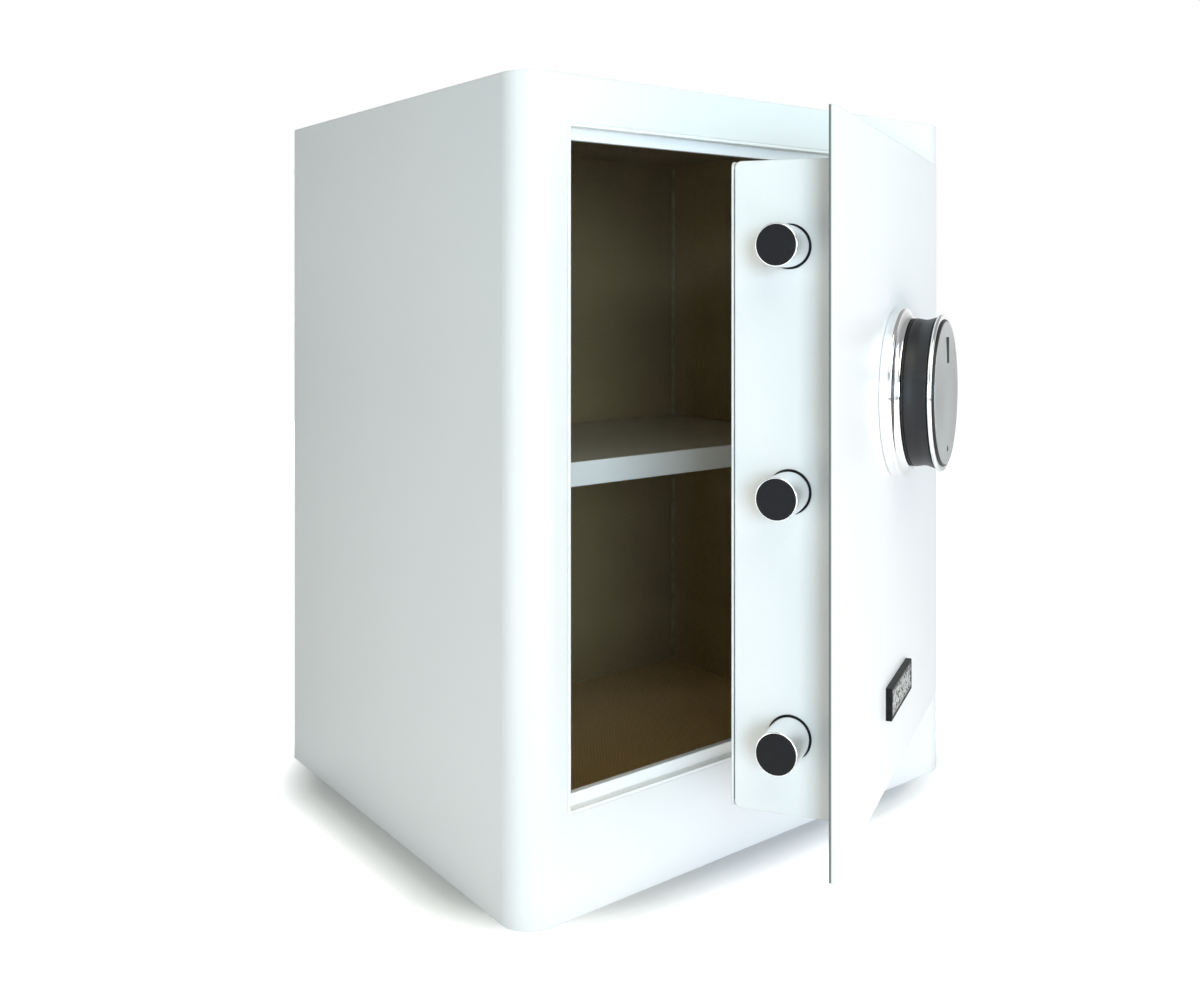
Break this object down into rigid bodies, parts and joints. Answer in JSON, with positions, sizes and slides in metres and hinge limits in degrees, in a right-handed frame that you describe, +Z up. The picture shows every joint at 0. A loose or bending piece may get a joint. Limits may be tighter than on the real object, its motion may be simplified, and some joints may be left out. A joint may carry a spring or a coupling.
{
  "type": "document safe",
  "caption": "Upright steel document safe: rebated front, part-open door on hidden hinges, round knob driving locking bolts, lined inside with a shelf.",
  "frame": {"origin": "centre of the cabinet's base, on the surface that it stands on", "axes": "+Z up, +Y from the front to the back, +X to the right seen from the front, where the door is hinged"},
  "size_m": [0.38, 0.5174, 0.5],
  "materials": {
    "white_paint": "semi-gloss powder coat, off-white",
    "lining": "olive-brown embossed lining sheet with a fine diamond texture",
    "bead": "pale corner bead",
    "zinc_steel": "zinc-plated steel",
    "chrome": "polished chrome",
    "black_plastic": "satin black moulded plastic",
    "silver_face": "fine-spun satin silver",
    "dark_frame": "dark satin paint",
    "dark_window": "gloss black",
    "seal": "dark rubber strip",
    "fire_board": "pale mineral board",
    "brass": "machined brass",
    "dark_steel": "dark oxide steel",
    "circuit": "green circuit board",
    "cell": "plain dark sleeve"
  },
  "bodies": {
    "cabinet": {"body_wrap": "white_paint", "top_panel": "white_paint", "bottom_panel": "white_paint", "back_panel": "white_paint", "door_rebate": "white_paint", "bolt_keeper": "white_paint", "lining_left": "lining", "lining_right": "lining", "lining_back": "lining", "lining_floor": "lining", "lining_ceiling": "lining", "lining_corner_beads": "bead", "shelf": "white_paint", "shelf_rail_left": "white_paint", "shelf_rail_right": "white_paint", "shelf_rail_rivets": "zinc_steel", "upper_hinge_bracket": "white_paint", "lower_hinge_bracket": "white_paint", "upper_hinge_pin": "zinc_steel", "lower_hinge_pin": "zinc_steel"},
    "door": {"door_plate": "white_paint", "door_pan": "white_paint", "back_cover": "white_paint", "cover_seal": "seal", "cover_screws": "zinc_steel", "door_fire_board": "fire_board", "lock_plate": "zinc_steel", "lock_plate_screws": "zinc_steel", "upper_hinge_arm": "white_paint", "lower_hinge_arm": "white_paint", "bolt_guide_strip": "zinc_steel", "spindle_bush": "brass", "knob_base": "chrome", "solenoid": "dark_steel", "solenoid_bracket": "zinc_steel", "circuit_board": "circuit", "circuit_standoffs": "zinc_steel", "cell_tray": "black_plastic", "cells": "cell", "badge_frame": "dark_frame", "badge_plate": "silver_face"},
    "knob": {"knob_grip": "black_plastic", "knob_rim": "chrome", "knob_face": "silver_face", "knob_window": "dark_window", "knob_mark": "dark_window", "knob_spindle": "zinc_steel", "locking_cam": "zinc_steel", "cam_screw": "zinc_steel"},
    "bolts": {"bolt_bar": "zinc_steel", "upper_bolt": "chrome", "middle_bolt": "chrome", "lower_bolt": "chrome", "bolt_caps": "black_plastic", "bolt_screws": "zinc_steel", "cam_follower": "zinc_steel"},
    "plunger": {"solenoid_plunger": "zinc_steel"}
  },
  "joints": [
    {"name": "door_hinge", "type": "hinge", "parent": "cabinet", "child": "door", "pos_m": [0.1775, -0.16, 0.25], "axis": [0, 0, 1], "range_deg": [-30.3, 64.7]},
    {"name": "knob_turn", "type": "hinge", "parent": "door", "child": "knob", "pos_m": [0.03154, -0.26382, 0.3076], "axis": [0.5045, -0.8634, 0], "range_deg": [0, 90]},
    {"name": "bolt_throw", "type": "slide", "parent": "door", "child": "bolts", "axis": [-0.8634, -0.5045, 0], "range_m": [0, 0.018]},
    {"name": "plunger_drop", "type": "slide", "parent": "door", "child": "plunger", "axis": [0, 0, -1], "range_m": [0, 0.005]}
  ],
  "couplings": [
    {"joint": "bolt_throw", "follows": "knob_turn", "m_per_rad": 0.011459}
  ]
}
